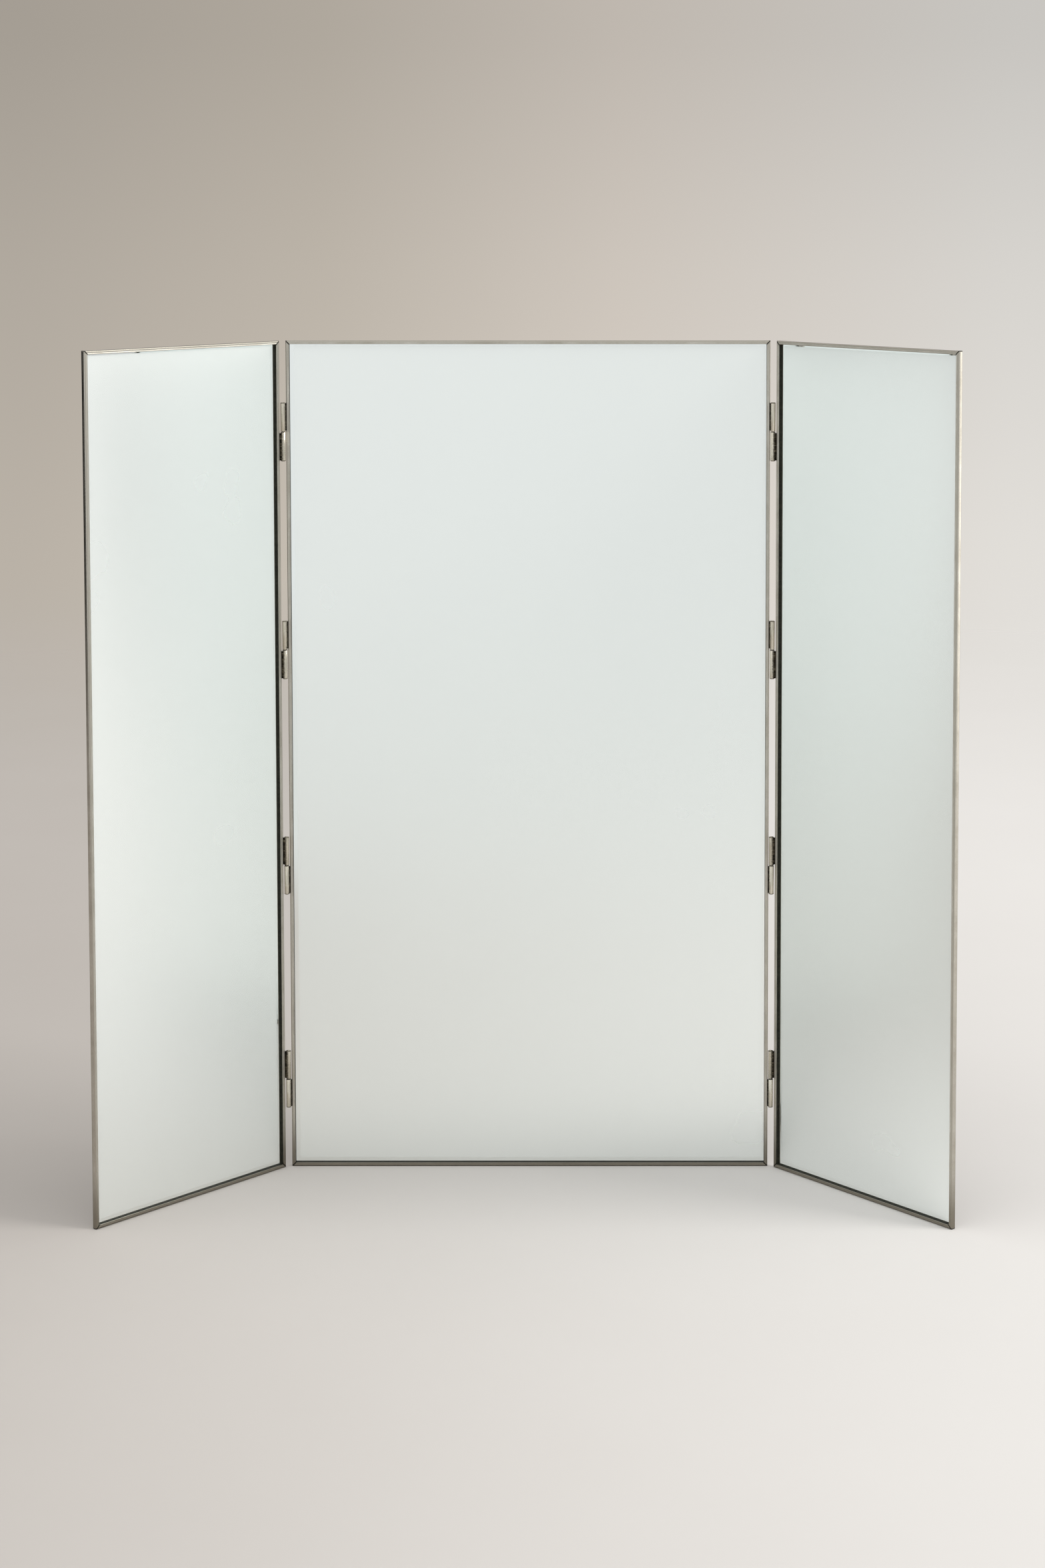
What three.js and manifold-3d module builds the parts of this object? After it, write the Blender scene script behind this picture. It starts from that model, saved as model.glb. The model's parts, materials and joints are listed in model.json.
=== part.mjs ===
// Three-panel folding floor mirror: a wide centre panel and two half-width wings.
//
// Each panel is a mitred frame of folded steel channel, with corner keys inside its corners.
// The channel holds a glazing gasket, the mirror glass and a thin backing sheet, front to back.
// Four barrel hinges join each wing to the centre panel.  The pin is fixed in the centre
// panel's knuckle.  On the two upper hinges that knuckle is the upper one and on the two lower
// hinges it is the lower one, so a wing can be lifted neither up nor down off its pins.
//
// Units are millimetres.  +Z is up, the mirrors face -Y, and the origin is under the middle of
// the centre panel's bottom rail, halfway through its depth.

import * as THREE from 'three';
import { mergeVertices } from 'three/addons/utils/BufferGeometryUtils.js';
import Module from 'manifold-3d';

const wasm = await Module();
wasm.setup();

// Panels
const PANEL_HEIGHT = 1200;
const CENTRE_WIDTH = 690;
const CLOSED_SLIT = 3; // between the two wings when both lie folded over the centre panel
const WING_WIDTH = (CENTRE_WIDTH - CLOSED_SLIT) / 2;

// Channel of the frame
const FRAME_DEPTH = 8.3;
const FACE_WIDTH = 5; // width of the lips at the front and at the back
const SHEET = 1; // sheet thickness of the folded channel
const FOLD_RADIUS = 1.6; // outside radius of the two folds
const LIP_RADIUS = 0.4; // eased edge of the front and back lips
const MITRE_GAP = 0.3; // width of the open line between two mitred rails
const CLEARANCE = 0.3; // gap between pieces that would touch

// Filling of the channel, front to back
const GASKET_DEPTH = 1.6;
const GLASS_DEPTH = 3;
const BACKING_DEPTH = 0.5;

// Corner keys
const KEY_LEG = 24;
const KEY_THICKNESS = 0.8;

// Hinges
const PANEL_GAP = 8; // between a wing and the centre panel, opened flat
const AXIS_PROUD = 2; // how far the hinge axis stands in front of the frame's face
const END_TO_HINGE = 130; // from a panel's end to the middle of its nearest hinge
const HINGES_PER_SIDE = 4;
const KNUCKLE_RADIUS = 3.55;
const KNUCKLE_LENGTH = 42;
const KNUCKLE_GAP = 0.7; // open line between the two knuckles of a hinge
const KNUCKLE_DOME = 1.2; // height of the domed end
const KNUCKLE_EDGE = 0.3; // chamfer at the open end
const BORE_RADIUS = 1.6;
const BORE_DEPTH = 36;
const PIN_RADIUS = 1.3;
const PIN_END_GAP = 0.5;
const PIN_POINT = 0.6; // length of the tapered ends
const WELD_INSET = 1.5; // how far a weld stops short of its knuckle's ends
const WELD_REACH = 3; // how far a weld runs along the frame's side, behind the face
const ROUND_SEGMENTS = 18;
const PIN_SEGMENTS = 12;
const ARC_STEPS = 4;

// How far each wing stands folded forward of flat
const WING_FOLD = THREE.MathUtils.degToRad(48);

const glassInset = SHEET + KEY_THICKNESS + 2 * CLEARANCE;
const gasketFront = SHEET + CLEARANCE;
const glassFront = gasketFront + GASKET_DEPTH + CLEARANCE;
const backingFront = glassFront + GLASS_DEPTH + CLEARANCE;
const hingeX = (CENTRE_WIDTH + PANEL_GAP) / 2;
const hingeY = -FRAME_DEPTH / 2 - AXIS_PROUD;
const hingePitch = (PANEL_HEIGHT - 2 * END_TO_HINGE) / (HINGES_PER_SIDE - 1);

const finishes = {
  frame: { color: 0xa8a49a, roughness: 0.32, metalness: 1 },
  mirror: { color: 0xdfe4e0, roughness: 0.05, metalness: 1 },
  gasket: { color: 0x141412, roughness: 0.8, metalness: 0 },
  backing: { color: 0x3a3a38, roughness: 0.7, metalness: 0 },
  key: { color: 0x7d7d7a, roughness: 0.5, metalness: 1 },
  hinge: { color: 0xb0a596, roughness: 0.3, metalness: 1 },
  pin: { color: 0xc4c4c0, roughness: 0.2, metalness: 1 },
};

function piece(name, geometry, finish) {
  const mesh = new THREE.Mesh(geometry, new THREE.MeshStandardMaterial(finishes[finish]));
  mesh.name = name;
  return mesh;
}

// Boolean helpers -----------------------------------------------------------------------------

function solidOf(geometry) {
  const bare = geometry.clone();
  bare.deleteAttribute('normal');
  bare.deleteAttribute('uv');
  const merged = mergeVertices(bare, 1e-4);
  return new wasm.Manifold(new wasm.Mesh({
    numProp: 3,
    vertProperties: new Float32Array(merged.attributes.position.array),
    triVerts: new Uint32Array(merged.index.array),
  }));
}

function geometryOf(solid) {
  const mesh = solid.getMesh();
  const geometry = new THREE.BufferGeometry();
  geometry.setAttribute('position', new THREE.BufferAttribute(mesh.vertProperties, 3));
  geometry.setIndex(new THREE.BufferAttribute(mesh.triVerts, 1));
  return geometry;
}

// Frame rails ---------------------------------------------------------------------------------

// Points of a quarter turn about (cx, cy), from angle start, without its first point.
function quarterArc(cx, cy, radius, start) {
  return Array.from({ length: ARC_STEPS }, (_, i) => {
    const angle = start + ((i + 1) / ARC_STEPS) * (Math.PI / 2);
    return new THREE.Vector2(cx + radius * Math.cos(angle), cy + radius * Math.sin(angle));
  });
}

// Section of the channel: x runs inward from the frame's outer edge, y backward from its face.
function channelSection() {
  const inner = FACE_WIDTH;
  const back = FRAME_DEPTH;
  const fold = FOLD_RADIUS;
  const lip = LIP_RADIUS;
  return new THREE.Shape([
    new THREE.Vector2(fold, 0),
    new THREE.Vector2(inner - lip, 0),
    ...quarterArc(inner - lip, lip, lip, -Math.PI / 2),
    new THREE.Vector2(inner, SHEET),
    new THREE.Vector2(SHEET, SHEET),
    new THREE.Vector2(SHEET, back - SHEET),
    new THREE.Vector2(inner, back - SHEET),
    new THREE.Vector2(inner, back - lip),
    ...quarterArc(inner - lip, back - lip, lip, 0),
    new THREE.Vector2(fold, back),
    ...quarterArc(fold, back - fold, fold, Math.PI / 2),
    new THREE.Vector2(0, fold),
    ...quarterArc(fold, fold, fold, Math.PI).slice(0, -1),
  ]);
}

// A rail of one panel side.  The section is extruded along z and both ends are then sheared to
// 45 degrees: a point at distance x from the outer edge moves x inward along the rail.
function railGeometry(length) {
  const geometry = new THREE.ExtrudeGeometry(channelSection(), { depth: length, bevelEnabled: false });
  const position = geometry.attributes.position;
  for (let i = 0; i < position.count; i += 1) {
    const mitre = position.getX(i) + MITRE_GAP * Math.SQRT1_2;
    const along = position.getZ(i) / length;
    position.setZ(i, mitre + along * (length - 2 * mitre));
  }
  return geometry;
}

// The rails of a panel that spans x from 0 to width and z from 0 to height, with its face at
// y = 0.  Each basis lists where the section's x, its y and the rail's length point.
function frameRails(name, width, height) {
  const inLeft = new THREE.Vector3(1, 0, 0);
  const inRight = new THREE.Vector3(-1, 0, 0);
  const inBottom = new THREE.Vector3(0, 0, 1);
  const inTop = new THREE.Vector3(0, 0, -1);
  const back = new THREE.Vector3(0, 1, 0);
  const sides = [
    { side: 'left_stile', inward: inLeft, start: [0, 0, 0], length: height },
    { side: 'right_stile', inward: inRight, start: [width, 0, height], length: height },
    { side: 'bottom_rail', inward: inBottom, start: [width, 0, 0], length: width },
    { side: 'top_rail', inward: inTop, start: [0, 0, height], length: width },
  ];
  return sides.map(({ side, inward, start, length }) => {
    const along = inward.clone().cross(back);
    const place = new THREE.Matrix4().makeBasis(inward, back, along).setPosition(...start);
    return piece(`${name}_${side}`, railGeometry(length).applyMatrix4(place), 'frame');
  });
}

// Filling of a panel --------------------------------------------------------------------------

function rectangle(x0, z0, x1, z1) {
  return [[x0, z0], [x1, z0], [x1, z1], [x0, z1]].map(([x, z]) => new THREE.Vector2(x, z));
}

// Extrudes a shape drawn in x and z backward, from y = front.
function plate(shape, front, depth) {
  const geometry = new THREE.ExtrudeGeometry(shape, { depth, bevelEnabled: false });
  return geometry.rotateX(Math.PI / 2).translate(0, front + depth, 0);
}

function sheetPlate(width, height, front, depth) {
  const inset = glassInset;
  return plate(new THREE.Shape(rectangle(inset, inset, width - inset, height - inset)), front, depth);
}

// A flat ring behind the front lips, its inner edge just under theirs.
function gasketRing(width, height) {
  const inset = glassInset;
  const opening = FACE_WIDTH + CLEARANCE;
  const shape = new THREE.Shape(rectangle(inset, inset, width - inset, height - inset));
  shape.holes.push(new THREE.Path(rectangle(opening, opening, width - opening, height - opening)));
  return plate(shape, gasketFront, GASKET_DEPTH);
}

// An L of flat strip that lies in the corner of two channels, against their webs.
function cornerKeys(name, width, height) {
  const outer = SHEET + CLEARANCE;
  const inner = outer + KEY_THICKNESS;
  const tip = outer + KEY_LEG;
  const outline = [[outer, outer], [tip, outer], [tip, inner], [inner, inner], [inner, tip], [outer, tip]];
  const depth = FRAME_DEPTH - 2 * (SHEET + CLEARANCE);
  const corners = [
    { corner: 'lower_left', x: (u) => u, z: (v) => v },
    { corner: 'lower_right', x: (u) => width - u, z: (v) => v },
    { corner: 'upper_right', x: (u) => width - u, z: (v) => height - v },
    { corner: 'upper_left', x: (u) => u, z: (v) => height - v },
  ];
  return corners.map(({ corner, x, z }) => {
    const points = outline.map(([u, v]) => new THREE.Vector2(x(u), z(v)));
    return piece(`${name}_${corner}_key`, plate(new THREE.Shape(points), gasketFront, depth), 'key');
  });
}

// Everything of one panel except its hinges, with its lower left front corner at the origin.
function panel(name, width, height) {
  const group = new THREE.Group();
  group.add(
    ...frameRails(name, width, height),
    ...cornerKeys(name, width, height),
    piece(`${name}_glazing_gasket`, gasketRing(width, height), 'gasket'),
    piece(`${name}_mirror_glass`, sheetPlate(width, height, glassFront, GLASS_DEPTH), 'mirror'),
    piece(`${name}_backing_sheet`, sheetPlate(width, height, backingFront, BACKING_DEPTH), 'backing'),
  );
  return group;
}

// Hinges --------------------------------------------------------------------------------------

// Turned barrel with a blind bore, standing on z = 0 with its open end down.
function barrelGeometry() {
  const radius = KNUCKLE_RADIUS;
  const length = KNUCKLE_LENGTH;
  const profile = [
    [0, BORE_DEPTH],
    [BORE_RADIUS, BORE_DEPTH],
    [BORE_RADIUS, 0],
    [radius - KNUCKLE_EDGE, 0],
    [radius, KNUCKLE_EDGE],
    [radius, length - KNUCKLE_DOME],
    [radius * Math.cos(Math.PI / 6), length - KNUCKLE_DOME / 2],
    [radius * Math.cos(Math.PI / 3), length - KNUCKLE_DOME * (1 - Math.sin(Math.PI / 3))],
    [0, length],
  ].map(([r, z]) => new THREE.Vector2(r, z));
  return new THREE.LatheGeometry(profile, ROUND_SEGMENTS).rotateX(Math.PI / 2);
}

// Weld between the barrel and the side of the frame, which lies toward +x of the axis.  It
// fills the corner between the two and stops a clearance short of the frame.
function weldGeometry() {
  const wall = PANEL_GAP / 2 - CLEARANCE;
  const face = AXIS_PROUD;
  const inBarrel = KNUCKLE_RADIUS * 0.85;
  const outline = [
    [inBarrel * Math.cos(-Math.PI / 9), inBarrel * Math.sin(-Math.PI / 9)],
    [wall, face - CLEARANCE],
    [wall, face + WELD_REACH],
    [inBarrel * Math.cos(Math.PI / 3), inBarrel * Math.sin(Math.PI / 3)],
  ].map(([x, y]) => new THREE.Vector2(x, y));
  const depth = KNUCKLE_LENGTH - 2 * WELD_INSET;
  return new THREE.ExtrudeGeometry(new THREE.Shape(outline), { depth, bevelEnabled: false })
    .translate(0, 0, WELD_INSET);
}

const barrel = solidOf(barrelGeometry());
const weld = solidOf(weldGeometry());
const knuckleGeometry = geometryOf(barrel.add(weld));

// One knuckle on the hinge axis.  The frame it is welded to lies toward side (+1 or -1) in x,
// and up (+1 or -1) says whether it is its hinge's upper or lower knuckle.
function knuckle(name, side, up, z) {
  const geometry = knuckleGeometry.clone();
  geometry.scale(side, 1, up);
  if (side * up < 0) {
    const index = geometry.index.array;
    for (let i = 0; i < index.length; i += 3) {
      [index[i], index[i + 1]] = [index[i + 1], index[i]];
    }
  }
  return piece(name, geometry.translate(0, 0, z + (up * KNUCKLE_GAP) / 2), 'hinge');
}

// Round pin with tapered ends, its middle at height z on the hinge axis.
function pin(name, z) {
  const half = BORE_DEPTH + KNUCKLE_GAP / 2 - PIN_END_GAP;
  const profile = [
    [0, -half],
    [PIN_RADIUS / 2, -half],
    [PIN_RADIUS, PIN_POINT - half],
    [PIN_RADIUS, half - PIN_POINT],
    [PIN_RADIUS / 2, half],
    [0, half],
  ].map(([r, height]) => new THREE.Vector2(r, height));
  const geometry = new THREE.LatheGeometry(profile, PIN_SEGMENTS);
  return piece(name, geometry.rotateX(Math.PI / 2).translate(0, 0, z), 'pin');
}

// Both halves of the hinges on one side of the centre panel, around the hinge axis.  The centre
// panel lies toward inward (+1 or -1) in x.
function hinges(sideName, inward) {
  const fixed = new THREE.Group();
  const moving = new THREE.Group();
  for (let i = 0; i < HINGES_PER_SIDE; i += 1) {
    const z = PANEL_HEIGHT - END_TO_HINGE - i * hingePitch;
    const fixedUp = i < HINGES_PER_SIDE / 2 ? 1 : -1;
    const name = `${sideName}_hinge_${i + 1}`;
    fixed.add(
      knuckle(`${name}_centre_knuckle`, inward, fixedUp, z),
      pin(`${name}_pin`, z),
    );
    moving.add(knuckle(`${name}_wing_knuckle`, -inward, -fixedUp, z));
  }
  return { fixed, moving };
}

// Assembly ------------------------------------------------------------------------------------

const object = new THREE.Group();

const centre = panel('centre', CENTRE_WIDTH, PANEL_HEIGHT);
centre.position.set(-CENTRE_WIDTH / 2, -FRAME_DEPTH / 2, 0);
object.add(centre);

for (const { name, side } of [{ name: 'left', side: -1 }, { name: 'right', side: 1 }]) {
  const { fixed, moving } = hinges(name, -side);
  fixed.position.set(side * hingeX, hingeY, 0);
  object.add(fixed);

  // A wing's panel is placed for the flat position, about the hinge axis, and then folded.
  const wing = panel(`${name}_wing`, WING_WIDTH, PANEL_HEIGHT);
  const nearEdge = PANEL_GAP / 2;
  wing.position.set(side > 0 ? nearEdge : -nearEdge - WING_WIDTH, AXIS_PROUD, 0);
  const folded = new THREE.Group();
  folded.add(wing, moving);
  folded.position.set(side * hingeX, hingeY, 0);
  folded.rotation.z = -side * WING_FOLD;
  object.add(folded);
}

export default object;
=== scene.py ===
import json
import math
import bpy
import numpy as np
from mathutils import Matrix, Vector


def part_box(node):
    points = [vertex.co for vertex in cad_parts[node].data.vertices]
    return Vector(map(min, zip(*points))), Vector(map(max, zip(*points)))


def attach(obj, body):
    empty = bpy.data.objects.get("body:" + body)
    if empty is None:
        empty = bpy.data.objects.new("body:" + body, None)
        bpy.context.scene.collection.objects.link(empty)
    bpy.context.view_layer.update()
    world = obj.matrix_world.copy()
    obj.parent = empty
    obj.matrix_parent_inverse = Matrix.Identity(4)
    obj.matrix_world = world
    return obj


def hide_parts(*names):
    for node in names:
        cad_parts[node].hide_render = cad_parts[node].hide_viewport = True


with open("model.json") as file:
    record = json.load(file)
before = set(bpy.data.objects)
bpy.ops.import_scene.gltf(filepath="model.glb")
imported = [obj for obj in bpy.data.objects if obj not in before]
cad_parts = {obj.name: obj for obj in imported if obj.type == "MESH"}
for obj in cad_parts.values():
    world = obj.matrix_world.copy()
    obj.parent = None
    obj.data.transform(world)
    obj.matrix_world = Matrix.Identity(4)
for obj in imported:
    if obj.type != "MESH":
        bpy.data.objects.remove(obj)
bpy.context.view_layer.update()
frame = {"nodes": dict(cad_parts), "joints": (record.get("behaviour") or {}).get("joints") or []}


# ---- Camera ---------------------------------------------------------------------------------
# A standing person's view from a little right of the middle, nearly level.  Most of the
# downward look is lens shift, which keeps the tall stiles almost parallel.
DOWNWARD_TILT = 4.24
camera_data = bpy.data.cameras.new("camera")
camera_data.lens = 66.95
camera_data.sensor_width = 36.0
camera_data.shift_x = -0.0631
camera_data.shift_y = -0.245
camera_data.clip_end = 500
camera = bpy.data.objects.new("camera", camera_data)
camera.location = (0.133, -4.1445, 1.4225)
camera.rotation_euler = (math.radians(90 - DOWNWARD_TILT), 0, 0)
bpy.context.scene.collection.objects.link(camera)
bpy.context.scene.camera = camera
bpy.context.scene.view_settings.view_transform = "Standard"


# ---- Frame rails ----------------------------------------------------------------------------
# Each panel's frame is four lengths of folded steel channel, mitred at the corners, nickel
# plated and satin finished by hand along their length.  Age has left the plating duller and
# browner in the mitres.  A darker line along the folds and darker metal near the floor are
# painted shade.
centre_low, centre_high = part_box("centre_bottom_rail")
SHEET = 0.001
FOLD_RADIUS = 0.0016
LIP_RADIUS = 0.0004
FACE_WIDTH = 0.005
FRAME_DEPTH = centre_high.y - centre_low.y
MITRE_GAP = 0.0003
ARC_STEPS = 9
LINE_AT = 0.0033
LINE_HALF_WIDTH = 0.00022
LINE_DEPTH = 0.00016


def quarter_arc(centre, radius, start, turn=1):
    """Points centre + radius (cos a, sin a), for a from start over a quarter turn."""
    a = start + turn * np.linspace(0, math.pi / 2, ARC_STEPS)
    return np.column_stack([centre[0] + radius * np.cos(a), centre[1] + radius * np.sin(a)])


def channel_section():
    """The channel's outline: column 0 runs inward from the outer edge, column 1 back from the
    face.  A shallow V rolled along the face stiffens the lip."""
    back = FRAME_DEPTH
    lip = FACE_WIDTH - LIP_RADIUS
    rolled_line = [(LINE_AT - LINE_HALF_WIDTH, 0), (LINE_AT, LINE_DEPTH),
                   (LINE_AT + LINE_HALF_WIDTH, 0)]
    return np.vstack([
        rolled_line,
        quarter_arc((lip, LIP_RADIUS), LIP_RADIUS, -math.pi / 2),
        [(FACE_WIDTH, SHEET), (SHEET, SHEET), (SHEET, back - SHEET), (FACE_WIDTH, back - SHEET)],
        quarter_arc((lip, back - LIP_RADIUS), LIP_RADIUS, 0),
        quarter_arc((FOLD_RADIUS, back - FOLD_RADIUS), FOLD_RADIUS, math.pi / 2),
        quarter_arc((FOLD_RADIUS, FOLD_RADIUS), FOLD_RADIUS, math.pi),
    ])


def mesh_of(name, points, faces, smooth_under=40):
    """A mesh object at the origin, smooth except at edges sharper than smooth_under degrees."""
    mesh = bpy.data.meshes.new(name)
    mesh.from_pydata(points.reshape(-1, 3).tolist(), [], faces)
    mesh.polygons.foreach_set("use_smooth", np.ones(len(mesh.polygons), bool))
    mesh.set_sharp_from_angle(angle=math.radians(smooth_under))
    mesh.update()
    piece = bpy.data.objects.new(name, mesh)
    bpy.context.scene.collection.objects.link(piece)
    return piece


def tube_faces(stations, around):
    """Quads of a grid of stations x around points whose rows are closed loops, with both ends
    capped."""
    i, j = np.meshgrid(np.arange(stations - 1), np.arange(around), indexing="ij")
    k = (j + 1) % around
    quads = np.stack([i * around + j, i * around + k, (i + 1) * around + k, (i + 1) * around + j], -1)
    caps = [list(range(around - 1, -1, -1)), [(stations - 1) * around + j for j in range(around)]]
    return quads.reshape(-1, 4).tolist() + caps


def write_layers(piece, uv, place):
    """Gives each corner its vertex's uv, and each vertex its place vector."""
    mesh = piece.data
    corner = np.empty(len(mesh.loops), np.int32)
    mesh.loops.foreach_get("vertex_index", corner)
    mesh.uv_layers.new(name="UVMap").data.foreach_set("uv", uv[corner].astype(np.float32).ravel())
    layer = mesh.attributes.new("place", "FLOAT_VECTOR", "POINT")
    layer.data.foreach_set("vector", place.astype(np.float32).ravel())


def rail_piece(name, start, inward, along, back, length):
    """Channel carried along a rail: point = start + u inward + v back + s along, with each end
    sheared to 45 degrees, so that s runs from u to length - u at a distance u from the edge."""
    section = channel_section()
    u, v = section.T
    mitre = u + MITRE_GAP / math.sqrt(2)
    t = np.array([0.0, 1.0])[:, None]
    s = mitre + t * (length - 2 * mitre)
    u2, v2 = np.broadcast_to(u, s.shape), np.broadcast_to(v, s.shape)
    points = start + u2[..., None] * inward + v2[..., None] * back + s[..., None] * along
    piece = mesh_of(name, points, tube_faces(2, len(section)))
    girth = np.concatenate([[0], np.cumsum(np.hypot(*np.diff(section, axis=0).T))])
    write_layers(piece, np.column_stack([s.ravel(), np.tile(girth, 2)]),
                 np.column_stack([s.ravel(), u2.ravel(), (length - s).ravel()]))
    return piece


def new_material(name):
    """An empty node material and its Principled shader."""
    material = bpy.data.materials.new(name)
    material.use_nodes = True
    return material, material.node_tree.nodes["Principled BSDF"]


def node(tree, kind, inputs=(), **settings):
    """One shader node, with settings as attributes, and inputs as values or links by name or
    index."""
    made = tree.nodes.new(kind)
    for key, value in settings.items():
        setattr(made, key, value)
    for key, value in dict(inputs).items():
        if isinstance(value, bpy.types.NodeSocket):
            tree.links.new(value, made.inputs[key])
        else:
            made.inputs[key].default_value = value
    return made


def ramp(tree, value, stops):
    """Colour ramp from (position, grey or colour) stops."""
    made = node(tree, "ShaderNodeValToRGB", {"Fac": value})
    elements = made.color_ramp.elements
    while len(elements) < len(stops):
        elements.new(1.0)
    for element, (position, colour) in zip(elements, stops):
        element.position = position
        element.color = (colour,) * 3 + (1,) if isinstance(colour, float) else (*colour, 1)
    return made.outputs["Color"]


def maths(tree, operation, *values):
    """Output of a Math node on up to three values or links."""
    return node(tree, "ShaderNodeMath", dict(enumerate(values)), operation=operation).outputs[0]


def mixed(tree, factor, a, b):
    """Colour a where factor is 0, b where it is 1."""
    made = tree.nodes.new("ShaderNodeMix")
    made.data_type = "RGBA"
    for socket, value in ((made.inputs[0], factor), (made.inputs[6], a), (made.inputs[7], b)):
        if isinstance(value, bpy.types.NodeSocket):
            tree.links.new(value, socket)
        else:
            socket.default_value = value
    return made.outputs[2]


def noise(tree, vector, scale, detail=3.0, roughness=0.55):
    """Noise value, 0 to 1."""
    wanted = {"Vector": vector, "Scale": scale, "Detail": detail, "Roughness": roughness}
    return node(tree, "ShaderNodeTexNoise", wanted).outputs["Fac"]


def spread(tree, value, low, high, start=0.0, stop=1.0, smooth=False):
    """Value carried from low..high onto start..stop and held beyond them, eased if smooth."""
    wanted = {"Value": value, "From Min": low, "From Max": high, "To Min": start, "To Max": stop}
    easing = "SMOOTHSTEP" if smooth else "LINEAR"
    return node(tree, "ShaderNodeMapRange", wanted, interpolation_type=easing).outputs[0]


def own_coordinates(tree):
    """The piece's own coordinates, in metres."""
    return node(tree, "ShaderNodeTexCoord").outputs["Object"]


def split_vector(tree, vector):
    """X, Y and Z of a vector."""
    return node(tree, "ShaderNodeSeparateXYZ", {0: vector}).outputs


def place_layer(tree):
    """X, Y and Z of the place vector written on the piece."""
    layer = node(tree, "ShaderNodeAttribute", attribute_name="place", attribute_type="GEOMETRY")
    return split_vector(tree, layer.outputs["Vector"])


def feed(shader, name, link):
    """Links an output to the shader's input of that name."""
    shader.id_data.links.new(link, shader.inputs[name])


def feed_bump(shader, height, distance, strength):
    """Turns a height into the shader's Normal."""
    wanted = {"Height": height, "Distance": distance, "Strength": strength}
    feed(shader, "Normal", node(shader.id_data, "ShaderNodeBump", wanted).outputs[0])


def make_group(name, inputs, outputs):
    """An empty shader node group with its input and output nodes."""
    group = bpy.data.node_groups.new(name, "ShaderNodeTree")
    for label, kind, default in inputs:
        socket = group.interface.new_socket(label, in_out="INPUT", socket_type=kind)
        if default is not None:
            socket.default_value = default
    for label in outputs:
        group.interface.new_socket(label, in_out="OUTPUT", socket_type="NodeSocketFloat")
    return group, group.nodes.new("NodeGroupInput"), group.nodes.new("NodeGroupOutput")


# Satin finishing: fine scratches along x of the given vector, which is in metres.
satin_group, given, result = make_group(
    "satin_scratches",
    [("Vector", "NodeSocketVector", None), ("Stretch", "NodeSocketFloat", 60.0)],
    ["Height", "Streak"])
squeeze = node(satin_group, "ShaderNodeCombineXYZ", {
    "X": maths(satin_group, "DIVIDE", 1.0, given.outputs["Stretch"]), "Y": 1.0, "Z": 1.0})
drawn_out = node(satin_group, "ShaderNodeVectorMath", {
    0: given.outputs["Vector"], 1: squeeze.outputs[0]}, operation="MULTIPLY").outputs[0]
satin_group.links.new(noise(satin_group, drawn_out, 6000.0, 2.0), result.inputs["Height"])
satin_group.links.new(noise(satin_group, drawn_out, 900.0, 3.0), result.inputs["Streak"])

# Tarnish: soft brown clouds a few centimetres across, broken up by small spots.
tarnish_group, given, result = make_group(
    "tarnish", [("Vector", "NodeSocketVector", None), ("Spread", "NodeSocketFloat", 0.5)], ["Mask"])
clouds = noise(tarnish_group, given.outputs["Vector"], 28.0, 4.0, 0.6)
spots = noise(tarnish_group, given.outputs["Vector"], 700.0, 3.0, 0.65)
both = maths(tarnish_group, "MULTIPLY_ADD", spots, 0.45, maths(tarnish_group, "MULTIPLY", clouds, 0.75))
edge = maths(tarnish_group, "SUBTRACT", 1.05, given.outputs["Spread"])
over = maths(tarnish_group, "SUBTRACT", both, maths(tarnish_group, "MULTIPLY", edge, 0.85))
tarnish_group.links.new(spread(tarnish_group, over, -0.12, 0.22), result.inputs["Mask"])


def use_group(tree, group, inputs):
    """A group node placed in a material's tree."""
    made = tree.nodes.new("ShaderNodeGroup")
    made.node_tree = group
    for key, value in inputs.items():
        if isinstance(value, bpy.types.NodeSocket):
            tree.links.new(value, made.inputs[key])
        else:
            made.inputs[key].default_value = value
    return made


NICKEL = (0.63, 0.61, 0.555, 1)
NICKEL_DULL_AND_SHADED = (0.33, 0.30, 0.245, 1)
NICKEL_SHADED_LOW = (0.20, 0.18, 0.145, 1)
MITRE_BROWN = (0.016, 0.014, 0.011, 1)

satin_nickel, shader = new_material("satin_nickel")
tree = satin_nickel.node_tree
uv = node(tree, "ShaderNodeUVMap", uv_map="UVMap").outputs[0]
objectwise = own_coordinates(tree)
height_up = split_vector(tree, objectwise)["Z"]
place = place_layer(tree)
satin = use_group(tree, satin_group, {"Vector": uv, "Stretch": 60.0})
tarnish = use_group(tree, tarnish_group, {"Vector": objectwise, "Spread": 0.42})

# Grime in the mitres, to an uneven distance from the joint line.
nearest_end = maths(tree, "MINIMUM", place["X"], place["Z"])
from_mitre = maths(tree, "MULTIPLY", maths(tree, "SUBTRACT", nearest_end, place["Y"]), math.sqrt(0.5))
grime = noise(tree, objectwise, 900.0, 3.0)
mitre_reach = maths(tree, "MULTIPLY_ADD", grime, 0.0012, 0.0006)
in_mitre = maths(tree, "SUBTRACT", 1.0, spread(tree, from_mitre, 0.0003, mitre_reach))

# Painted shade: a dark line along the fold for the reflection in its rounding, and darker metal near the
# floor.
past_fold = spread(tree, place["Y"], 0.0001, 0.0006)
short_of_lip = spread(tree, place["Y"], 0.0026, 0.0008)
painted_fold_shade = maths(tree, "MULTIPLY", maths(tree, "MULTIPLY", past_fold, short_of_lip), 0.75)
tarnish_and_fold_shade = maths(tree, "MAXIMUM", maths(tree, "MULTIPLY", tarnish.outputs["Mask"], 0.6), painted_fold_shade)
# Painted shade: the metal darkens over its lowest few centimetres, toward the floor.
painted_low_shade = spread(tree, height_up, 0.004, 0.09, 0.9, 0.0, smooth=True)

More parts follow.
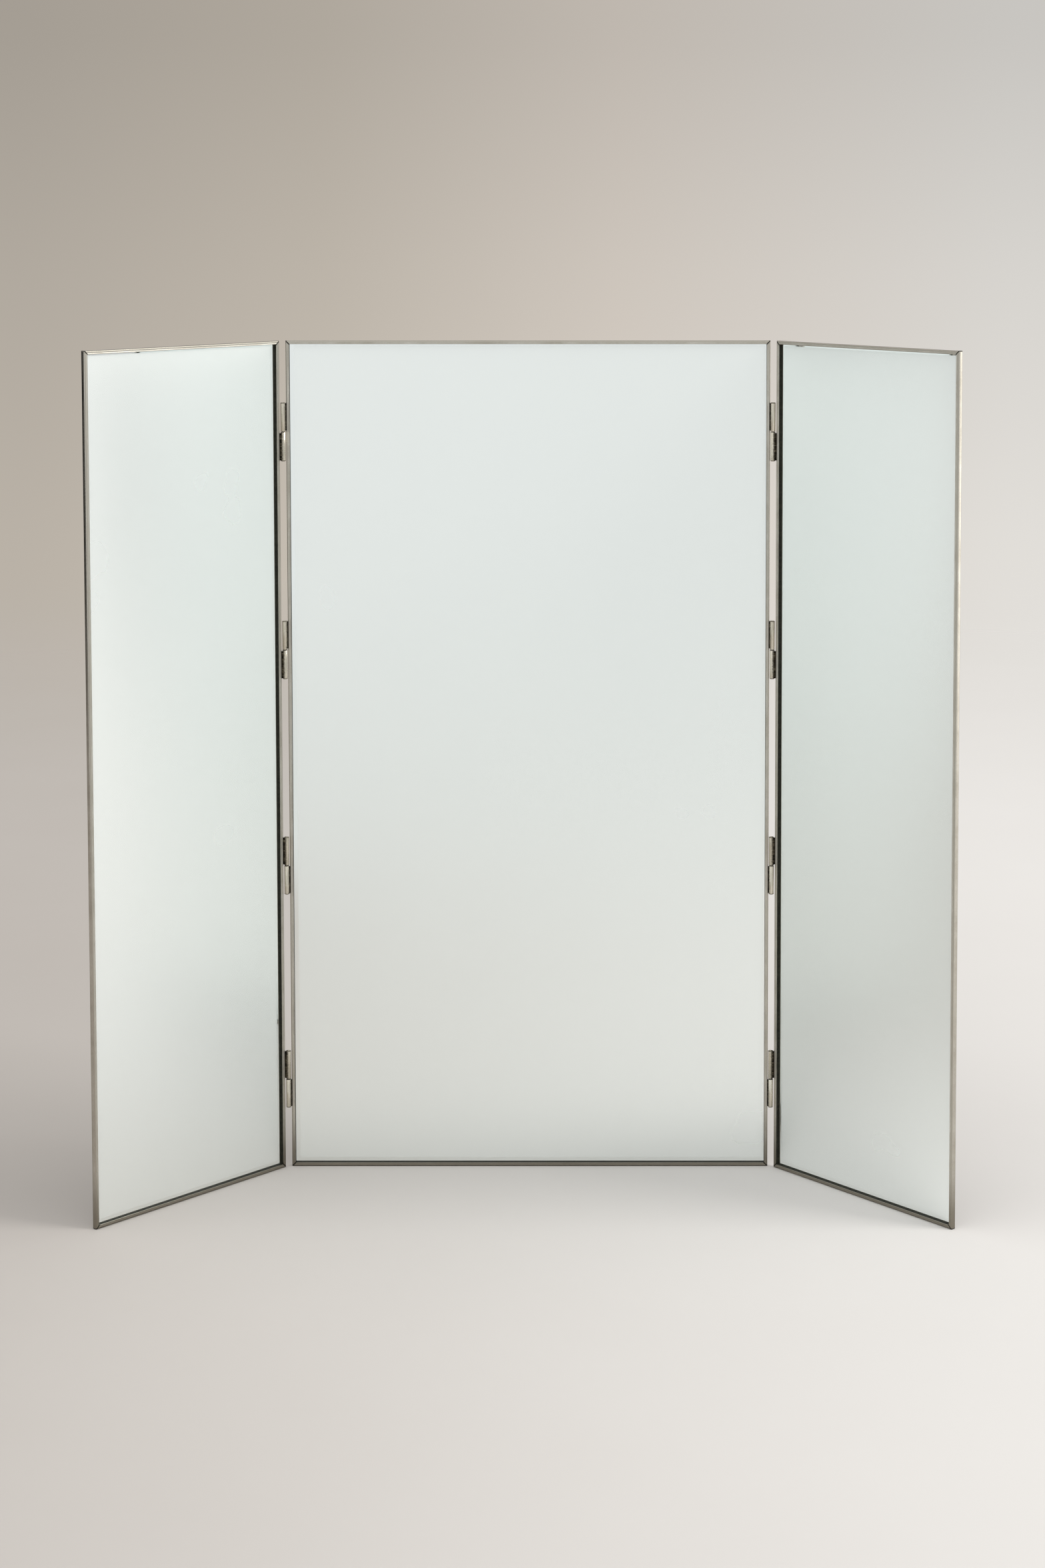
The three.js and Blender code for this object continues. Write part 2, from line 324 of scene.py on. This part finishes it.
plated = mixed(tree, tarnish_and_fold_shade, NICKEL, NICKEL_DULL_AND_SHADED)
base = mixed(tree, painted_low_shade, plated, NICKEL_SHADED_LOW)
streaked = mixed(tree, maths(tree, "MULTIPLY", satin.outputs["Streak"], 0.35), base, NICKEL_DULL_AND_SHADED)
feed(shader, "Base Color", mixed(tree, in_mitre, streaked, MITRE_BROWN))

# The outer side is smoother than the face.
rough = maths(tree, "MULTIPLY_ADD", tarnish.outputs["Mask"], 0.16, 0.25)
brushed = maths(tree, "MULTIPLY_ADD", satin.outputs["Streak"], 0.10, rough)
polished_side = spread(tree, place["Y"], 0.0002, 0.0012, 0.45, 1.0)
smoother = maths(tree, "MULTIPLY", brushed, polished_side)
feed(shader, "Roughness", maths(tree, "MAXIMUM", smoother, maths(tree, "MULTIPLY", in_mitre, 0.8)))
shader.inputs["Metallic"].default_value = 1.0
feed_bump(shader, satin.outputs["Height"], 0.00002, 0.5)

# A panel's own directions: right along its face, back through its depth, and up.
wing_fold = math.radians(48)
PANELS = {"centre": ("centre_panel", 0.0), "left_wing": ("left_wing", wing_fold),
          "right_wing": ("right_wing", -wing_fold)}  # body, and turn about the vertical
UP = np.array([0.0, 0.0, 1.0])
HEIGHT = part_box("centre_top_rail")[1].z


def panel_axes(turn):
    """Unit vectors right and back of a panel turned by that angle about the vertical."""
    right = np.array([math.cos(turn), math.sin(turn), 0.0])
    return right, np.array([-math.sin(turn), math.cos(turn), 0.0])


def node_points(name):
    """A CAD node's vertices as an array."""
    mesh = frame["nodes"][name].data
    points = np.empty(len(mesh.vertices) * 3, np.float32)
    mesh.vertices.foreach_get("co", points)
    return points.reshape(-1, 3).astype(float)


def panel_extent(panel):
    """Lower left front corner of a panel, and its width, from its bottom rail."""
    right, back = panel_axes(PANELS[panel][1])
    points = node_points(panel + "_bottom_rail")
    across, deep = points @ right, points @ back
    width = across.max() - across.min() + math.sqrt(2) * MITRE_GAP
    corner = (across.min() - MITRE_GAP / math.sqrt(2)) * right + deep.min() * back
    return corner, width


for panel, (body, turn) in PANELS.items():
    right, back = panel_axes(turn)
    corner, width = panel_extent(panel)
    far = corner + width * right
    sides = {
        "left_stile": (corner, right, UP, HEIGHT),
        "right_stile": (far + HEIGHT * UP, -right, -UP, HEIGHT),
        "bottom_rail": (far, UP, -right, width),
        "top_rail": (corner + HEIGHT * UP, -UP, right, width),
    }
    for side, (start, inward, along, length) in sides.items():
        rail = rail_piece(f"{panel}_{side}_channel", start, inward, along, back, length)
        rail.data.materials.append(satin_nickel)
        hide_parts(f"{panel}_{side}")
        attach(rail, body)


# ---- Mirror glass ---------------------------------------------------------------------------
# Silvered float glass, 3 mm thick with ground arrises, dropped into the channels.  The silver
# is on the back and has gone milky, so the reflection is soft and faintly green grey.  It is
# clear only in a narrow border, at the bottom and beside the hinges, which doubles the gasket.
GLASS_INSET = 0.0024
SILVER_FRONT = 0.0048
GLASS_BACK = 0.0062
ARRIS = 0.0004
CLEAR_BORDER = 0.0046
HAZE_BORDER = 0.0080
NARROWER = 3.0  # how much narrower the clear border is at the top and along the far side
SILVER_GREY = (0.925, 0.962, 0.952, 1)
SILVER_PALE = (0.94, 0.978, 0.965, 1)

mirror, shader = new_material("silvered_glass")
tree = mirror.node_tree
objectwise = own_coordinates(tree)
place = place_layer(tree)
far_edge = maths(tree, "MULTIPLY_ADD", place["Y"], NARROWER, -(NARROWER - 1) * FACE_WIDTH)
from_top = maths(tree, "SUBTRACT", HEIGHT, place["Z"])
top_edge = maths(tree, "MULTIPLY_ADD", from_top, NARROWER, -(NARROWER - 1) * FACE_WIDTH)
wide_borders = maths(tree, "MINIMUM", place["X"], place["Z"])
narrow_borders = maths(tree, "MINIMUM", far_edge, top_edge)
nearest_border = maths(tree, "MINIMUM", wide_borders, narrow_borders)
from_lip = maths(tree, "SUBTRACT", nearest_border, FACE_WIDTH)
milky = spread(tree, from_lip, CLEAR_BORDER, HAZE_BORDER, smooth=True)
haze = noise(tree, objectwise, 5.0, 3.0)
feed(shader, "Base Color", mixed(tree, haze, SILVER_GREY, SILVER_PALE))
soft = maths(tree, "MULTIPLY_ADD", haze, 0.05, 0.22)
feed(shader, "Roughness", maths(tree, "MULTIPLY_ADD", soft, milky, 0.02))
feed(shader, "Metallic", maths(tree, "MULTIPLY_ADD", milky, -0.21, 1.0))


def rounded_ring(corner, right, back, width, profile):
    """A profile of (u, v) carried round the panel's rectangle: at each corner the point lies u
    inward along both edges and v behind the face.  Returns rows of four corners, one per point."""
    u, v = profile.T
    across = np.stack([u, width - u, width - u, u], -1)
    up = np.stack([u, u, HEIGHT - u, HEIGHT - u], -1)
    points = corner + across[..., None] * right + v[:, None, None] * back + up[..., None] * UP
    return points, across, up


def band_faces(rows, closed):
    """Quads between successive rows of four corners, and back to the first row if closed."""
    i, j = np.meshgrid(np.arange(rows if closed else rows - 1), np.arange(4), indexing="ij")
    i2, j2 = (i + 1) % rows, (j + 1) % 4
    return np.stack([i * 4 + j, i * 4 + j2, i2 * 4 + j2, i2 * 4 + j], -1).reshape(-1, 4).tolist()


for panel, (body, turn) in PANELS.items():
    right, back = panel_axes(turn)
    corner, width = panel_extent(panel)
    edge = np.array([(GLASS_INSET + ARRIS, SILVER_FRONT), (GLASS_INSET, SILVER_FRONT + ARRIS),
                     (GLASS_INSET, GLASS_BACK - ARRIS), (GLASS_INSET + ARRIS, GLASS_BACK)])
    points, across, up = rounded_ring(corner, right, back, width, edge)
    faces = band_faces(len(edge), False)
    faces += [[0, 1, 2, 3], [4 * len(edge) - 1 - k for k in range(4)]]
    pane = mesh_of(f"{panel}_mirror_pane", points, faces, 20)
    hinge_side, far_side = across, width - across
    if panel == "left_wing":
        hinge_side, far_side = far_side, hinge_side
    write_layers(pane, np.column_stack([across.ravel(), up.ravel()]),
                 np.column_stack([hinge_side.ravel(), far_side.ravel(), up.ravel()]))
    pane.data.materials.append(mirror)
    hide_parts(panel + "_mirror_glass")
    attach(pane, body)


# ---- Glazing gaskets ------------------------------------------------------------------------
# Black rubber bead pressed in between the front lips and the glass, all round each panel.  Its
# rounded inner edge just shows past the lips.
BEAD_FRONT = 0.00105
BEAD_BACK = 0.00476
BEAD_EDGE = 0.0050
BEAD_SWELL = 0.00028
BEAD_STEPS = 9

gasket_rubber, shader = new_material("gasket_rubber")
tree = gasket_rubber.node_tree
dust = noise(tree, own_coordinates(tree), 350.0, 4.0)
feed(shader, "Base Color", ramp(tree, dust, [
    (0.40, (0.005, 0.005, 0.004)), (0.75, (0.034, 0.033, 0.022))]))
feed(shader, "Roughness", maths(tree, "MULTIPLY_ADD", dust, 0.3, 0.5))
shader.inputs["Specular IOR Level"].default_value = 0.22
shader.inputs["Specular Tint"].default_value = (1.0, 0.95, 0.78, 1)
for panel, (body, turn) in PANELS.items():
    right, back = panel_axes(turn)
    corner, width = panel_extent(panel)
    t = np.linspace(0, 1, BEAD_STEPS)
    bead = np.column_stack([BEAD_EDGE + BEAD_SWELL * np.sin(math.pi * t),
                            BEAD_FRONT + t * (BEAD_BACK - BEAD_FRONT)])
    section = np.vstack([[(GLASS_INSET, BEAD_FRONT)], bead, [(GLASS_INSET, BEAD_BACK)]])
    points, across, up = rounded_ring(corner, right, back, width, section)
    faces = [face[::-1] for face in band_faces(len(section), True)]
    gasket = mesh_of(f"{panel}_gasket_bead", points, faces)
    write_layers(gasket, np.column_stack([across.ravel(), up.ravel()]),
                 np.column_stack([across.ravel(), (width - across).ravel(), up.ravel()]))
    gasket.data.materials.append(gasket_rubber)
    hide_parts(panel + "_glazing_gasket")
    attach(gasket, body)


# ---- Backing sheets -------------------------------------------------------------------------
# Thin steel sheet closes each panel behind the glass.  It is powder coated matt charcoal, with
# a fine pebbled skin.
powder_coat, shader = new_material("powder_coat")
tree = powder_coat.node_tree
objectwise = own_coordinates(tree)
shade = noise(tree, objectwise, 14.0, 4.0)
feed(shader, "Base Color", mixed(tree, shade, (0.060, 0.060, 0.057, 1), (0.095, 0.094, 0.088, 1)))
feed(shader, "Roughness", maths(tree, "MULTIPLY_ADD", shade, 0.18, 0.45))
pebbles = node(tree, "ShaderNodeTexVoronoi", {"Vector": objectwise, "Scale": 900.0}, feature="SMOOTH_F1")
feed_bump(shader, pebbles.outputs["Distance"], 0.0002, 0.4)
for panel in PANELS:
    backing = frame["nodes"][panel + "_backing_sheet"]
    backing.data.materials.clear()
    backing.data.materials.append(powder_coat)


# ---- Corner keys and hinge pins -------------------------------------------------------------
# Bare steel: the keys are bent strip inside the corners, the pins are ground rod.  Only slivers
# of them show, through the mitres and between the knuckles.
bare_steel, shader = new_material("bare_steel")
tree = bare_steel.node_tree
tarnish = use_group(tree, tarnish_group, {"Vector": own_coordinates(tree), "Spread": 0.5})
rust = tarnish.outputs["Mask"]
feed(shader, "Base Color", mixed(tree, rust, (0.42, 0.41, 0.39, 1), (0.16, 0.14, 0.12, 1)))
feed(shader, "Roughness", maths(tree, "MULTIPLY_ADD", rust, 0.3, 0.3))
shader.inputs["Metallic"].default_value = 1.0
for name, steel in frame["nodes"].items():
    if name.endswith("_key") or name.endswith("_pin"):
        steel.data.materials.clear()
        steel.data.materials.append(bare_steel)


# ---- Hinge knuckles -------------------------------------------------------------------------
# Turned steel barrels, plated like the frame but warmer, with a domed end and a small chamfer
# at the joint.  Each pair turns on a pin in their blind bores.
KNUCKLE_RADIUS = 0.00355
KNUCKLE_LENGTH = 0.042
KNUCKLE_DOME = 0.0012
KNUCKLE_EDGE = 0.0003
BORE_RADIUS = 0.0016
BORE_DEPTH = 0.036
AXIS_OFFSET = 0.004
AXIS_PROUD = 0.002
AROUND = 64

WARM_NICKEL = (0.80, 0.76, 0.67, 1)
WARM_NICKEL_DULL = (0.48, 0.43, 0.33, 1)
STREAK_BROWN = (0.30, 0.26, 0.19, 1)
HEAT_TINT_SHADE_AND_RIM_BROWN = (0.055, 0.045, 0.028, 1)

knuckle_nickel, shader = new_material("knuckle_nickel")
tree = knuckle_nickel.node_tree
uv = node(tree, "ShaderNodeUVMap", uv_map="UVMap").outputs[0]
objectwise = own_coordinates(tree)
place = place_layer(tree)
satin = use_group(tree, satin_group, {"Vector": uv, "Stretch": 40.0})
tarnish = use_group(tree, tarnish_group, {"Vector": objectwise, "Spread": 0.5})
dulled = maths(tree, "MULTIPLY", tarnish.outputs["Mask"], 0.6)
base = mixed(tree, dulled, WARM_NICKEL, WARM_NICKEL_DULL)
streaked = mixed(tree, maths(tree, "MULTIPLY", satin.outputs["Streak"], 0.3), base, STREAK_BROWN)

# Brown heat tint beside the weld, deepened by painted shade on the flank toward the frame, and darker
# rims at both ends.
smoke = noise(tree, objectwise, 500.0, 4.0, 0.6)
toward_weld = maths(tree, "MULTIPLY_ADD", smoke, 0.6, place["X"])
heat_tint_and_flank_shade = spread(tree, toward_weld, 0.80, 1.40, smooth=True)
from_dome = maths(tree, "SUBTRACT", KNUCKLE_LENGTH - KNUCKLE_DOME, place["Y"])
from_end = maths(tree, "ABSOLUTE", maths(tree, "MINIMUM", place["Y"], from_dome))
rim = spread(tree, from_end, 0.0002, 0.0009, 0.85, 0.0)
feed(shader, "Base Color", mixed(tree, maths(tree, "MAXIMUM", heat_tint_and_flank_shade, rim), streaked, HEAT_TINT_SHADE_AND_RIM_BROWN))
feed(shader, "Roughness", maths(tree, "MULTIPLY_ADD", tarnish.outputs["Mask"], 0.12, 0.15))
shader.inputs["Metallic"].default_value = 1.0
feed_bump(shader, satin.outputs["Height"], 0.00002, 0.4)


def knuckle_profile():
    """Radius and height of a knuckle from its bore's floor, round its open end, to its dome."""
    a = np.linspace(0, math.pi / 2, 9)
    dome = np.column_stack([KNUCKLE_RADIUS * np.cos(a), KNUCKLE_LENGTH - KNUCKLE_DOME * (1 - np.sin(a))])
    dome[-1, 0] = 0
    bore = [(0, BORE_DEPTH), (BORE_RADIUS, BORE_DEPTH), (BORE_RADIUS, 0),
            (KNUCKLE_RADIUS - KNUCKLE_EDGE, 0), (KNUCKLE_RADIUS, KNUCKLE_EDGE)]
    return np.vstack([bore, dome])


def turned_piece(name, profile, axis, low, up, toward):
    """Surface of revolution: (r, h) goes to axis + r (cos a, sin a) at height low + up h.  Its
    place layer holds the cosine between a and the side toward the weld, and h."""
    ring = profile[1:-1]
    a = np.linspace(0, 2 * math.pi, AROUND, endpoint=False)
    r, h = ring[:, :1], ring[:, 1:]
    x = axis[0] + r * np.cos(a)
    y = axis[1] + r * np.sin(a)
    z = np.broadcast_to(low + up * h, x.shape)
    poles = np.array([[axis[0], axis[1], low + up * profile[k, 1]] for k in (0, -1)])
    points = np.vstack([np.stack([x, y, z], -1).reshape(-1, 3), poles])
    faces = tube_faces(len(ring), AROUND)[:-2]
    first, last = len(points) - 2, len(points) - 1
    top = (len(ring) - 1) * AROUND
    j = np.arange(AROUND)
    k = (j + 1) % AROUND
    faces += np.column_stack([np.full(AROUND, first), k, j]).tolist()
    faces += np.column_stack([np.full(AROUND, last), top + j, top + k]).tolist()
    if up < 0:
        faces = [face[::-1] for face in faces]
    piece = mesh_of(name, points, faces, 50)
    girth = np.broadcast_to(a * KNUCKLE_RADIUS, x.shape)
    run = np.broadcast_to(h, x.shape)
    uv = np.column_stack([run.ravel(), girth.ravel()])
    poles_uv = np.array([[profile[0, 1], 0], [profile[-1, 1], 0]])
    facing = np.broadcast_to(np.cos(a) * toward[0] + np.sin(a) * toward[1], x.shape)
    place = np.column_stack([facing.ravel(), run.ravel(), np.zeros(x.size)])
    poles_place = np.column_stack([[0, 0], profile[[0, -1], 1], [0, 0]])
    write_layers(piece, np.vstack([uv, poles_uv]), np.vstack([place, poles_place]))
    return piece


# Welds: small uneven puddles run along each knuckle, in the corner between it and the side of
# its frame.  They are left as welded and are nearly black, with a few paler crests, partly bare
# spots and partly a painted highlight on the ripples.
WELD_INSET = 0.0015
WELD_REACH = 0.003
WELD_PITCH = 0.0031
WELD_BULGE = 0.0008
WELD_STATIONS = 110
WELD_FROM = math.radians(-24)  # angle round the barrel, from the frame's side, where it starts
WELD_TO = math.radians(62)

weld_metal, shader = new_material("weld_metal")
tree = weld_metal.node_tree
crest = place_layer(tree)["X"]
scale_spots = noise(tree, own_coordinates(tree), 1500.0, 4.0, 0.7)
# Paler where the ripples crest, a painted highlight, and at random bare spots.
crest_highlight_and_spots = maths(tree, "MULTIPLY", crest, maths(tree, "MULTIPLY_ADD", scale_spots, 1.3, 0.1))
feed(shader, "Base Color", ramp(tree, crest_highlight_and_spots, [
    (0.30, (0.012, 0.010, 0.007)), (0.62, (0.075, 0.062, 0.040)), (1.0, (0.34, 0.30, 0.23))]))
feed(shader, "Roughness", maths(tree, "MULTIPLY_ADD", crest_highlight_and_spots, -0.25, 0.62))
shader.inputs["Metallic"].default_value = 0.9
feed_bump(shader, scale_spots, 0.00015, 0.6)


def weld_piece(name, axis, toward, back, low, up, seed):
    """Fillet carried up the hinge axis.  Its outline runs from the barrel to the frame's side in
    front, along the side, and back to the barrel; its front swells by the ripple height, a
    rounded saw along the weld plus slow random drift."""
    rng = np.random.default_rng(seed)
    run = np.linspace(0, 1, WELD_STATIONS)
    height = WELD_INSET + run * (KNUCKLE_LENGTH - 2 * WELD_INSET)
    drift = np.interp(run, np.linspace(0, 1, 18), rng.uniform(-0.9, 0.9, 18))
    phase = (height / WELD_PITCH + drift) % 1.0
    ripple = np.sqrt(np.clip(1 - (2 * phase - 1) ** 2, 0, 1))
    swell = 0.5 + 0.3 * ripple + 0.4 * np.interp(run, np.linspace(0, 1, 26), rng.uniform(-1, 1, 26))
    crest = np.clip(0.35 * ripple + np.interp(run, np.linspace(0, 1, 30), rng.uniform(0, 0.7, 30)), 0, 1)
    taper = np.clip(np.minimum(run, 1 - run) * 16, 0.15, 1)
    sunk = 0.93 * KNUCKLE_RADIUS
    start = sunk * np.array([math.cos(WELD_FROM), math.sin(WELD_FROM)])
    end = sunk * np.array([math.cos(WELD_TO), math.sin(WELD_TO)])
    wall_front = np.array([AXIS_OFFSET + 0.0004, AXIS_PROUD + 0.0004])
    wall_back = np.array([AXIS_OFFSET + 0.0002, AXIS_PROUD + WELD_REACH])
    f = np.linspace(0, 1, 12)[:, None]
    front = start + f * (wall_front - start)
    bulge = np.array([0.45, -0.89]) * np.sin(math.pi * f) * WELD_BULGE
    rear = wall_back + np.linspace(0, 1, 6)[:, None] * (end - wall_back)
    loop = np.vstack([front, rear])
    push = np.vstack([bulge, np.zeros_like(rear)])
    flat = loop[None] + push[None] * (swell * taper)[:, None, None]
    points = (axis + flat[..., :1] * toward + flat[..., 1:] * back
              + (low + up * height)[:, None, None] * UP)
    faces = tube_faces(WELD_STATIONS, len(loop))
    if np.dot(np.cross(toward, back), UP) * up < 0:
        faces = [face[::-1] for face in faces]
    piece = mesh_of(name, points, faces, 60)
    grade = np.repeat(np.clip(crest * taper, 0, 1), len(loop))
    girth = np.tile(np.arange(len(loop)) * 0.0003, WELD_STATIONS)
    write_layers(piece, np.column_stack([np.repeat(height, len(loop)), girth]),
                 np.column_stack([grade, grade, grade]))
    return piece


joints = {joint["child"]: joint for joint in frame["joints"]}
for wing, side in (("left", -1), ("right", 1)):
    axis = np.array([*joints[wing + "_wing"]["pos_m"][:2], 0.0])
    for number in range(1, 5):
        hinge = f"{wing}_hinge_{number}"
        boxes = {part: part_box(f"{hinge}_{part}_knuckle") for part in ("centre", "wing")}
        for part, (low_corner, high_corner) in boxes.items():
            upper = high_corner.z > boxes["wing" if part == "centre" else "centre"][1].z
            up = 1 if upper else -1
            open_end = low_corner.z if upper else high_corner.z
            body = "centre_panel" if part == "centre" else wing + "_wing"
            turn = PANELS["centre" if part == "centre" else body][1]
            right, back = panel_axes(turn)
            toward = right * (-side if part == "centre" else side)
            barrel = turned_piece(f"{hinge}_{part}_barrel", knuckle_profile(), axis, open_end, up, toward)
            barrel.data.materials.append(knuckle_nickel)
            bead = weld_piece(f"{hinge}_{part}_weld", axis, toward, back, open_end, up,
                              number * 10 + (side + 1) * 3 + len(part))
            bead.data.materials.append(weld_metal)
            for made in (barrel, bead):
                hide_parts(f"{hinge}_{part}_knuckle")
                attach(made, body)


# ---- Floor and light ------------------------------------------------------------------------
# A pale plaster floor, warmer and darker toward the left in painted shade, fades into the room a few
# metres out.
# A large soft light stands high on the right, and the room is a softbox all round.
FLOOR_HALF = 12.0
FLOOR_LEVEL = -0.0003
FLOOR_SHADED_WARM = (0.50, 0.462, 0.432, 1)
FLOOR_PALE = (0.77, 0.75, 0.735, 1)
FLOOR_NEAR = (0.68, 0.69, 0.68, 1)

floor_mesh = bpy.data.meshes.new("floor")
floor_corners = [(-1, -1), (1, -1), (1, 1), (-1, 1)]
floor_mesh.from_pydata([(x * FLOOR_HALF, y * FLOOR_HALF, FLOOR_LEVEL) for x, y in floor_corners],
                       [], [(0, 1, 2, 3)])
floor = bpy.data.objects.new("floor", floor_mesh)
bpy.context.scene.collection.objects.link(floor)
plaster, shader = new_material("plaster")
tree = plaster.node_tree
objectwise = own_coordinates(tree)
where = split_vector(tree, objectwise)
cloud = noise(tree, objectwise, 1.3, 5.0)
# Painted shade: the floor warms and darkens toward the left, as the light falls off away from the lamp.
from_left = spread(tree, where["X"], -1.1, 1.0, smooth=True)
well_in_front = spread(tree, where["Y"], -1.3, -2.2, smooth=True)
cloud_and_falloff_shade = maths(tree, "MULTIPLY_ADD", cloud, 0.15, maths(tree, "MULTIPLY", from_left, 0.9))
floor_with_falloff_shade = mixed(tree, cloud_and_falloff_shade, FLOOR_SHADED_WARM, FLOOR_PALE)
feed(shader, "Base Color", mixed(tree, well_in_front, floor_with_falloff_shade, FLOOR_NEAR))
shader.inputs["Roughness"].default_value = 0.9
shader.inputs["Specular IOR Level"].default_value = 0.15
reach = node(tree, "ShaderNodeVectorMath", {0: objectwise}, operation="LENGTH").outputs["Value"]
feed(shader, "Alpha", spread(tree, reach, 2.2, 7.0, 1.0, 0.0, smooth=True))
floor_mesh.materials.append(plaster)


def times(tree, a, b):
    """Colour a times colour b."""
    return node(tree, "ShaderNodeVectorMath", {0: a, 1: b}, operation="MULTIPLY").outputs[0]


# The backdrop is what the eye sees behind the mirror, and the softbox is what lights it.  Each
# is a product of colour ramps over the direction's x, y or z, from 0 at -1 to 1 at +1.
world = bpy.data.worlds.new("room")
bpy.context.scene.world = world
world.use_nodes = True
tree = world.node_tree
toward = split_vector(tree, node(tree, "ShaderNodeTexCoord").outputs["Generated"])
across, deep, up = [maths(tree, "MULTIPLY_ADD", toward[letter], 0.5, 0.5) for letter in "XYZ"]
backdrop_across = ramp(tree, across, [
    (0.0, (0.50, 0.455, 0.40)), (0.40, (0.503, 0.456, 0.397)), (0.45, (0.577, 0.523, 0.453)),
    (0.50, (0.70, 0.64, 0.575)), (0.565, (0.775, 0.75, 0.71)), (0.62, (0.80, 0.78, 0.75))])
backdrop_up = ramp(tree, up, [(0.395, 1.0), (0.44, 0.97), (0.486, 0.87), (0.525, 0.745)])
backdrop = times(tree, backdrop_across, backdrop_up)
softbox_across = ramp(tree, across, [
    (0.10, 1.08), (0.42, 0.97), (0.56, 0.90), (0.75, 0.84), (0.95, 0.78)])
softbox_deep = ramp(tree, deep, [
    (0.15, (0.90, 0.912, 0.906)), (0.58, (0.88, 0.87, 0.85)), (0.85, (0.50, 0.49, 0.47))])
softbox_up = ramp(tree, up, [(0.30, 0.93), (0.46, 0.93), (0.60, 1.0), (0.85, 1.25)])
softbox = times(tree, times(tree, softbox_across, softbox_deep), softbox_up)

# A black flag on the left and a white card on the right, both level with the mirror or behind
# it, draw the dark and light lines along the outer sides of the metal.
FLAG_BLACK = (0.012, 0.012, 0.010, 1)
CARD_WHITE = (2.3, 2.25, 2.15, 1)
not_in_front = spread(tree, toward["Y"], -0.07, 0.02, smooth=True)
flag = maths(tree, "MULTIPLY", spread(tree, toward["X"], -0.80, -0.94, smooth=True), not_in_front)
card = maths(tree, "MULTIPLY", spread(tree, toward["X"], 0.86, 0.96, smooth=True), not_in_front)
lighting = mixed(tree, card, mixed(tree, flag, softbox, FLAG_BLACK), CARD_WHITE)
seen = node(tree, "ShaderNodeLightPath").outputs["Is Camera Ray"]
background = tree.nodes["Background"]
tree.links.new(mixed(tree, seen, lighting, backdrop), background.inputs["Color"])
background.inputs["Strength"].default_value = 1.0

# The soft light, turned from its place toward the middle of the mirror.
LIGHT_PLACE = np.array([6.2, -1.6, 5.2])
LIGHT_AIM = np.array([0.2, -0.1, 0.4])
light_data = bpy.data.lights.new("key", "AREA")
light_data.size = 3.0
light_data.energy = 250
light_data.color = (1.0, 0.985, 0.96)
light = bpy.data.objects.new("key", light_data)
look = LIGHT_AIM - LIGHT_PLACE
tilt = math.acos(-look[2] / np.linalg.norm(look))
light.location = LIGHT_PLACE
light.rotation_euler = (tilt, 0, math.atan2(look[0], -look[1]) + math.pi)
bpy.context.scene.collection.objects.link(light)
